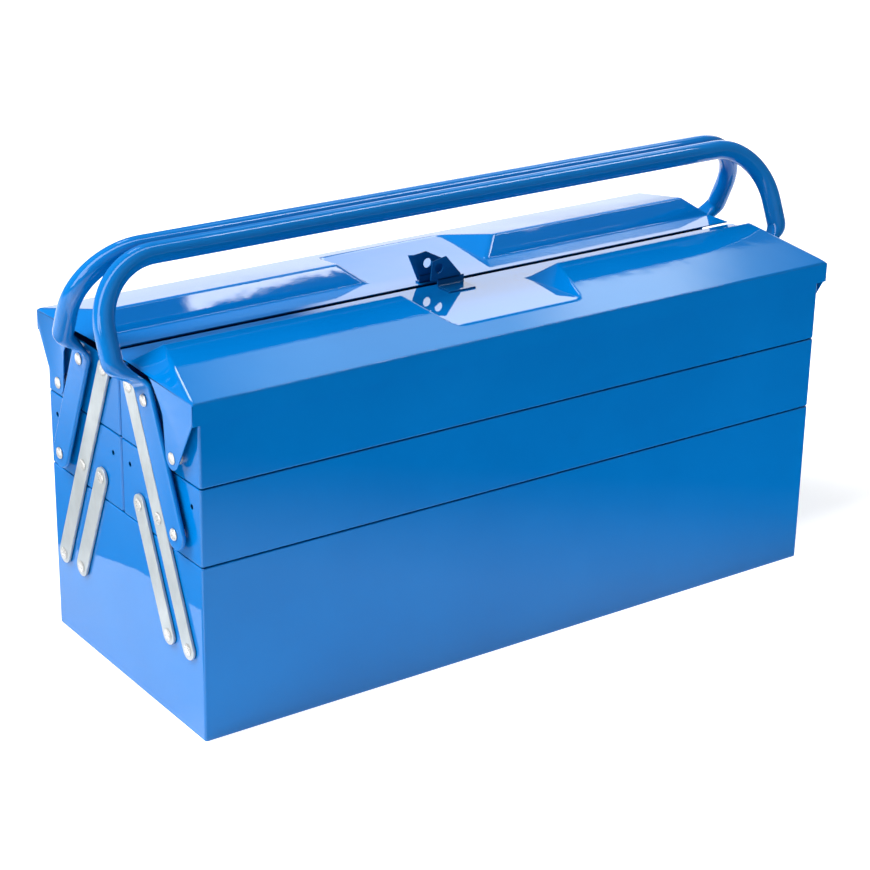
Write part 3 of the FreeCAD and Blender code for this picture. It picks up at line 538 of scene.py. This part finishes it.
# ------------------------------------------------------------------ rivets
def rivets(name, places, seat, rad, high, flat, body, node):
    """Formed rivets: head outside, shank, and tail inside the sheet; places: (side, y, z)."""
    bm = bmesh.new()
    SEG = 36
    prof = []
    prof.append((0.0, 263.0))
    prof += [(3.2, 263.0), (3.9, 263.12), (4.3, 263.5), (4.3, 264.2), (2.5, 264.2), (2.5, seat)]
    prof += [(rad - 0.25, seat), (rad, seat + 0.18)]
    for i in range(1, 9):
        t = i / 8
        if flat:
            r = rad * (1 - t) if t < 1 else 0.0
            h = 0.30 * high + 0.70 * high * (1 - (r / rad) ** 6)
        else:
            r = rad * math.cos(math.radians(90 * t))
            h = 0.22 * high + 0.78 * high * math.sin(math.radians(90 * t))
        prof.append((max(r, 0.0), seat + h))
    for side, y, z in places:
        rings = []
        for r, x in prof:
            if r < 1e-6:
                rings.append([bm.verts.new((side * x * MM, y * MM, z * MM))])
            else:
                rings.append([bm.verts.new((side * x * MM, (y + r * math.cos(2 * math.pi * i / SEG)) * MM,
                                            (z + r * math.sin(2 * math.pi * i / SEG)) * MM)) for i in range(SEG)])
        for a, b in zip(rings, rings[1:]):
            for i in range(SEG):
                j = (i + 1) % SEG
                if len(a) == 1:
                    bm.faces.new((a[0], b[j], b[i]))
                elif len(b) == 1:
                    bm.faces.new((a[i], a[j], b[0]))
                else:
                    bm.faces.new((a[i], a[j], b[j], b[i]))
    ob = from_bm(bm, name, STEEL)
    ob.data.set_sharp_from_angle(angle=math.radians(45))
    return finish_piece(ob, body, "rivet_steel", node)


SIDES = (-1, 1)
rivets("base_rivet_heads", [(s, sg * v, 62.0) for s in SIDES for sg in (-1, 1) for v in (89.0, 62.5)],
       267.6, 4.3, 0.75, True, "base", "base_link_rivets")
for half, sg in HALVES:
    rivets(half + "_middle_rivet_heads", [(s, sg * v, 143.0) for s in SIDES for v in (53.5, 27.0)],
           267.6, 4.3, 0.75, True, half + "_middle", half + "_middle_link_rivets")
    rivets(half + "_upper_rivet_heads", [(s, sg * 18.0, 224.0) for s in SIDES],
           267.6, 4.3, 0.75, True, half + "_upper", half + "_upper_link_rivets")
    rivets(half + "_bar_rivet_heads", [(s, sg * 81.0, 143.0) for s in SIDES],
           271.1, 4.2, 1.6, False, half + "_middle", half + "_middle_handle_rivets")
    rivets(half + "_bar_top_rivet_heads", [(s, sg * 45.5, 224.0) for s in SIDES],
           271.1, 4.2, 1.6, False, half + "_upper", half + "_upper_handle_rivets")
    rivets(half + "_lid_rivet_heads", [(s, sg * 80.0, 195.5) for s in SIDES],
           270.5, 4.1, 1.1, False, half + "_upper", half + "_lid_rivets")
    for nd in ("_middle_handle_spacers", "_upper_handle_spacers", "_lid_spacers"):
        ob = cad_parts[half + nd]
        for s in ob.material_slots:
            s.material = STEEL


# ------------------------------------------------------------------ padlock tabs
def tab(name, outline, foot, y_face, body, node, wing=None):
    """Upright plate with the padlock eye, bent up from a foot that lies on the lid; wing: (index of the
    outline edge that is a fold, the two outer points of the strip beyond it, how far the strip leans back)."""
    TK, HOLE = 1.2, (-14.0, 14.3, 3.5)
    y_back = y_face + TK
    bm = bmesh.new()
    hole = arc(HOLE[0], HOLE[1], HOLE[2], 0, 360, 32)[:-1]
    n = len(outline)

    loops = []
    for y in (y_face, y_back):
        o = [bm.verts.new((x * MM, y * MM, (244.0 + h) * MM)) for x, h in outline]
        c = [bm.verts.new((x * MM, y * MM, (244.0 + h) * MM)) for x, h in hole]
        edges = [bm.edges.new((o[i], o[(i + 1) % n])) for i in range(n)]
        edges += [bm.edges.new((c[i], c[(i + 1) % len(c)])) for i in range(len(c))]
        bmesh.ops.triangle_fill(bm, use_beauty=True, use_dissolve=False, edges=edges)
        if wing:
            k, ends, back = wing
            w = [bm.verts.new((x * MM, (y + d) * MM, (244.0 + h) * MM)) for (x, h), d in zip(ends, back)]
            bm.faces.new((o[k], w[0], w[1], o[k + 1]))
            o = o[:k + 1] + w + o[k + 1:]
        loops.append((o, c))
    (o0, c0), (o1, c1) = loops
    for a, b in ((o0, o1), (c0, c1)):
        for i in range(len(a)):
            j = (i + 1) % len(a)
            bm.faces.new((a[i], a[j], b[j], b[i]))
    bmesh.ops.recalc_face_normals(bm, faces=bm.faces)
    ob = from_bm(bm, name, PAINT_TAB_SHADED)
    mod(ob, "BEVEL", width=0.22 * MM, segments=2, limit_method="ANGLE", angle_limit=math.radians(50), use_clamp_overlap=True)
    weighted(ob)
    bake(ob, 40)
    # foot with the round bend at the upright
    x0, x1, ya, yb = foot
    bm = bmesh.new()
    inward = 1 if yb > ya else -1                   # from the upright towards the end of the foot
    yf = y_face if inward < 0 else y_back           # face of the upright on the foot's side
    yo = y_back if inward < 0 else y_face
    sec = [(yo, 6.5), (yo, 2.0)]
    for k in range(7):
        a = math.radians(90 * k / 6)
        sec.append((yo + inward * 2.0 * (1 - math.cos(a)), 2.0 * (1 - math.sin(a))))
    sec += [(yb, 0.0), (yb + 0 * inward, 1.2)]
    for k in range(7):
        a = math.radians(90 - 90 * k / 6)
        sec.append((yf + inward * 0.8 * (1 - math.cos(a)), 1.2 + 0.8 * (1 - math.sin(a))))
    sec += [(yf, 6.5)]
    ra = [bm.verts.new((x0 * MM, y * MM, (244.0 + h) * MM)) for y, h in sec]
    rb = [bm.verts.new((x1 * MM, y * MM, (244.0 + h) * MM)) for y, h in sec]
    k = len(sec)
    for i in range(k):
        bm.faces.new((ra[i], ra[(i + 1) % k], rb[(i + 1) % k], rb[i]))
    bm.faces.new(list(reversed(ra)))
    bm.faces.new(rb)
    ft = from_bm(bm, name + "_foot", PAINT_TAB_SHADED)
    mod(ft, "BEVEL", width=0.2 * MM, segments=2, limit_method="ANGLE", angle_limit=math.radians(50), use_clamp_overlap=True)
    weighted(ft)
    bake(ft, 40)
    finish_piece(ob, body, "blue_paint", node)
    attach(ft, body)


front_out = [(-15.0, 5.2), (3.6, 5.2), (5.2, 7.2), (-7.8, 22.2), (-19.8, 20.0), (-21.0, 5.8)]
rear_out = [(-5.0, 5.2), (-3.0, 1.0), (3.0, 5.2), (2.0, 14.3), (-3.6, 17.2), (-15.6, 23.4), (-25.6, 22.0), (-20.8, 5.2)]
tab("front_tab", front_out, (-15.0, 7.8, -8.2, -24.0), -9.4, "front_lid", "front_padlock_tab")
tab("rear_tab", rear_out, (-20.8, -5.0, 5.0, 10.0), 5.0, "rear_lid", "rear_padlock_tab",
    (6, ((-28.6, 21.4), (-21.4, 1.6)), (3.0, 0.6)))


# ------------------------------------------------------------------ floor, light, camera
def floor():
    bm = bmesh.new()
    bmesh.ops.create_grid(bm, x_segments=8, y_segments=8, size=9.0)
    ob = from_bm(bm, "studio_floor", [])
    m = Net("pale_floor")
    m.put(m.bsdf, "Base Color", m.ramp(m.noise(3.0, 2.0, 0.5), [(0.3, (0.73, 0.73, 0.73)), (0.7, (0.76, 0.76, 0.76))]))
    m.bsdf.inputs["Roughness"].default_value = 0.9
    m.bsdf.inputs["Specular IOR Level"].default_value = 0.1
    m.bsdf.inputs["Emission Color"].default_value = (1.0, 1.0, 1.0, 1.0)
    sep = m.t.nodes.new("ShaderNodeSeparateXYZ")
    m.t.links.new(m.coord, sep.inputs[0])
    # painted light: the floor glows, more towards the right where the box's shadow falls, and more in a band just in
    # front of the box, which whitens the shadow and lights the front faces
    strip = m.math("ABSOLUTE", m.math("ADD", sep.outputs["Y"], 0.22), 0.0)
    m.put(m.bsdf, "Emission Strength", m.math("ADD", m.span(sep.outputs["X"], 0.40, 0.66, -0.3, 0.6), m.span(strip, 1.3, 0.0, 0.0, 0.17)))
    ob.data.materials.append(m.mat)
    return ob


floor()


def area(name, loc, target, sx, sy, radiance):
    d = bpy.data.lights.new(name, "AREA")
    d.shape = "RECTANGLE"
    d.size, d.size_y = sx, sy
    d.energy = radiance * math.pi * sx * sy
    o = link_in(bpy.data.objects.new(name, d))
    o.location = loc
    o.rotation_euler = (Vector(target) - Vector(loc)).to_track_quat("-Z", "Y").to_euler()
    return o


def softbox(name, az, el, dist, hw, hh, radiance, soft, tint=(1.0, 1.0, 1.0), roll=0.0, shift=(0.0, 0.0)):
    """Glowing panel; az is measured from +X towards +Y, hw and hh are half sizes, soft is the width of the
    fading edge along and across, shift moves the panel in its own plane."""
    c = Vector((math.cos(math.radians(az)) * math.cos(math.radians(el)), math.sin(math.radians(az)) * math.cos(math.radians(el)),
                math.sin(math.radians(el)))) * dist + Vector((0, 0, 0.24))
    bm = bmesh.new()
    for x, y in ((-hw, -hh), (hw, -hh), (hw, hh), (-hw, hh)):
        bm.verts.new((x + shift[0], y + shift[1], 0.0))
    bm.faces.new(bm.verts)
    ob = from_bm(bm, name, [])
    ob.location = c
    turn = (Vector((0, 0, 0.24)) - c).to_track_quat("-Z", "Y").to_matrix().to_4x4() @ Matrix.Rotation(math.radians(roll), 4, "Z")
    ob.rotation_euler = turn.to_euler()
    m = Net(name + "_glow")
    m.t.nodes.remove(m.bsdf)
    sep = m.t.nodes.new("ShaderNodeSeparateXYZ")
    m.t.links.new(m.coord, sep.inputs[0])
    fade = []
    for axis, half, edge, off in (("X", hw, soft[0], shift[0]), ("Y", hh, soft[1], shift[1])):
        d = m.math("ABSOLUTE", m.math("SUBTRACT", sep.outputs[axis], off), 0.0)
        r = m.t.nodes.new("ShaderNodeMapRange")
        r.interpolation_type = "SMOOTHSTEP"
        r.inputs["From Min"].default_value = half
        r.inputs["From Max"].default_value = half - edge
        r.inputs["To Min"].default_value = 0.0
        r.inputs["To Max"].default_value = 1.0
        m.t.links.new(d, r.inputs["Value"])
        fade.append(r.outputs["Result"])
    e = m.t.nodes.new("ShaderNodeEmission")
    e.inputs["Color"].default_value = (*tint, 1.0)
    m.t.links.new(m.math("MULTIPLY", m.math("MULTIPLY", fade[0], fade[1]), radiance), e.inputs["Strength"])
    clear = m.t.nodes.new("ShaderNodeBsdfTransparent")
    both = m.t.nodes.new("ShaderNodeAddShader")
    m.t.links.new(e.outputs[0], both.inputs[0])
    m.t.links.new(clear.outputs[0], both.inputs[1])
    m.t.links.new(both.outputs[0], m.out.inputs["Surface"])
    ob.data.materials.append(m.mat)
    ob.visible_camera = False
    ob.visible_shadow = False
    return ob


def arch(name, spans, dist, radiance):
    """Ribbon of light bent over the part, seen only in its gloss; spans = [(direction, half width)] along it."""
    bm = bmesh.new()
    rows = []
    for (x, y, z), half in spans:
        k = dist / math.sqrt(x * x + y * y + z * z)
        rows.append([bm.verts.new((x * k, y * k + q * half, z * k + 0.15)) for q in (-1.0, 1.0)])
    for a, b in zip(rows, rows[1:]):
        bm.faces.new((a[0], a[1], b[1], b[0]))
    ob = from_bm(bm, name, [])
    m = Net(name + "_light")
    e = m.t.nodes.new("ShaderNodeEmission")
    e.inputs["Strength"].default_value = radiance
    m.t.links.new(e.outputs[0], m.out.inputs["Surface"])
    ob.data.materials.append(m.mat)
    ob.visible_camera = False
    ob.visible_diffuse = False
    ob.visible_shadow = False
    return ob


def card(name, pts, line, stops, glow=None):
    """Card lying beside the part, seen only in its gloss: its graded tone is a painted reflection in the part, and with
    glow the card glows in that tone; the tone follows line = (a, b, c) as a x + b y + c.
    """
    bm = bmesh.new()
    bm.faces.new([bm.verts.new((x, y, 0.0005)) for x, y in pts])
    ob = from_bm(bm, name, [])
    m = Net(name + "_painted_reflection")
    sep = m.t.nodes.new("ShaderNodeSeparateXYZ")
    m.t.links.new(m.coord, sep.inputs[0])
    d = m.math("ADD", m.math("ADD", m.math("MULTIPLY", sep.outputs["X"], line[0]), m.math("MULTIPLY", sep.outputs["Y"], line[1])), line[2])
    lo, hi = stops[0][0], stops[-1][0]
    tone = m.ramp(m.span(d, 0.0, 1.0, lo, hi), [((q - lo) / (hi - lo), (t, t, t)) for q, t in stops])
    if glow:
        m.bsdf.inputs["Base Color"].default_value = (0.0, 0.0, 0.0, 1.0)
        m.put(m.bsdf, "Emission Color", tone)
        m.bsdf.inputs["Emission Strength"].default_value = glow
    else:
        m.put(m.bsdf, "Base Color", tone)
    m.bsdf.inputs["Roughness"].default_value = 1.0
    m.bsdf.inputs["Specular IOR Level"].default_value = 0.0
    ob.data.materials.append(m.mat)
    ob.visible_camera = False
    ob.visible_diffuse = False
    ob.visible_shadow = False
    return ob


world = bpy.data.worlds.new("studio")
scene.world = world
world.use_nodes = True
world.node_tree.nodes["Background"].inputs["Color"].default_value = (1.0, 1.0, 1.0, 1.0)
world.node_tree.nodes["Background"].inputs["Strength"].default_value = 0.16

# key behind on the left, weak fill in front, panels behind on the right and overhead; cards seen only in the gloss
# paint dark reflections that keep it deep
key = area("left_key", (-2.05, 0.95, 2.92), (0.0, 0.0, 0.15), 2.2, 2.2, 14.0)
key.visible_glossy = False
area("front_fill", (-0.3, -3.6, 2.3), (0.0, 0.0, 0.0), 4.0, 2.4, 0.24)
softbox("back_panel", 46.2, 15.5, 4.20, 0.985, 1.00, 2.5, (0.15, 0.83))
softbox("top_panel", 40.0, 43.0, 4.20, 0.97, 0.36, 1.75, (0.55, 0.03), (0.75, 1.0, 1.0), roll=35.3)
softbox("top_panel_warm", 40.0, 43.0, 4.18, 0.33, 0.30, 1.9, (0.25, 0.03), (0.95, 1.0, 1.0), roll=35.3, shift=(-0.38, -0.06))
softbox("strip_lamp", -8.0, 57.0, 3.60, 0.20, 0.583, 16.0, (0.02, 0.02), roll=17.0, shift=(-0.128, -0.0375))
softbox("left_panel", 196.0, 21.0, 3.60, 0.40, 0.50, 6.5, (0.10, 0.15))
arch("bow_lamp", [((-0.985, 0.03, 0.12), 0.45), ((-0.90, 0.02, 0.44), 0.55), ((-0.62, 0.02, 0.78), 0.55), ((-0.34, -0.01, 0.94), 0.42),
                  ((-0.04, -0.04, 1.0), 0.30), ((0.30, -0.06, 0.95), 0.22), ((0.41, -0.07, 0.91), 0.16)], 3.40, 6.0)
softbox("edge_lamp", 82.0, 50.5, 3.40, 0.35, 0.14, 9.0, (0.04, 0.04))
# painted reflections: the front faces and the ends show these cards in their gloss, and the front card glows
card("front_card", [(0.90, -0.108), (-0.265, -0.108), (-0.42, -0.40), (-0.70, -3.0), (3.0, -3.0), (3.0, -0.108)],
     (0.6535, -0.757, -0.374), [(-0.20, 0.52), (-0.13, 0.35), (-0.085, 0.22), (-0.038, 0.09), (0.02, 0.012)], 1.65)
card("left_card", [(-0.275, 0.35), (-0.337, 0.193), (-0.353, 0.152), (-0.358, 0.07), (-0.360, -0.12), (-0.56, -0.12), (-0.56, 0.60), (-0.275, 0.60)],
     (1.0, 0.0, 0.0), [(-0.56, 0.80), (-0.50, 0.55), (-0.43, 0.27), (-0.36, 0.15)])

cam = bpy.data.cameras.new("camera")
cam.lens = 95.43
cam.sensor_width = 36.0
cam.sensor_fit = "HORIZONTAL"
co = link_in(bpy.data.objects.new("camera", cam))
right, up, back = (0.818093, -0.574832, 0.017083), (0.204186, 0.318107, 0.925806), (-0.537617, -0.753907, 0.377614)
loc = (-0.91834, -1.27620, 0.76552)
co.matrix_world = Matrix([[right[i], up[i], back[i], loc[i]] for i in range(3)] + [[0, 0, 0, 1]])
scene.camera = co
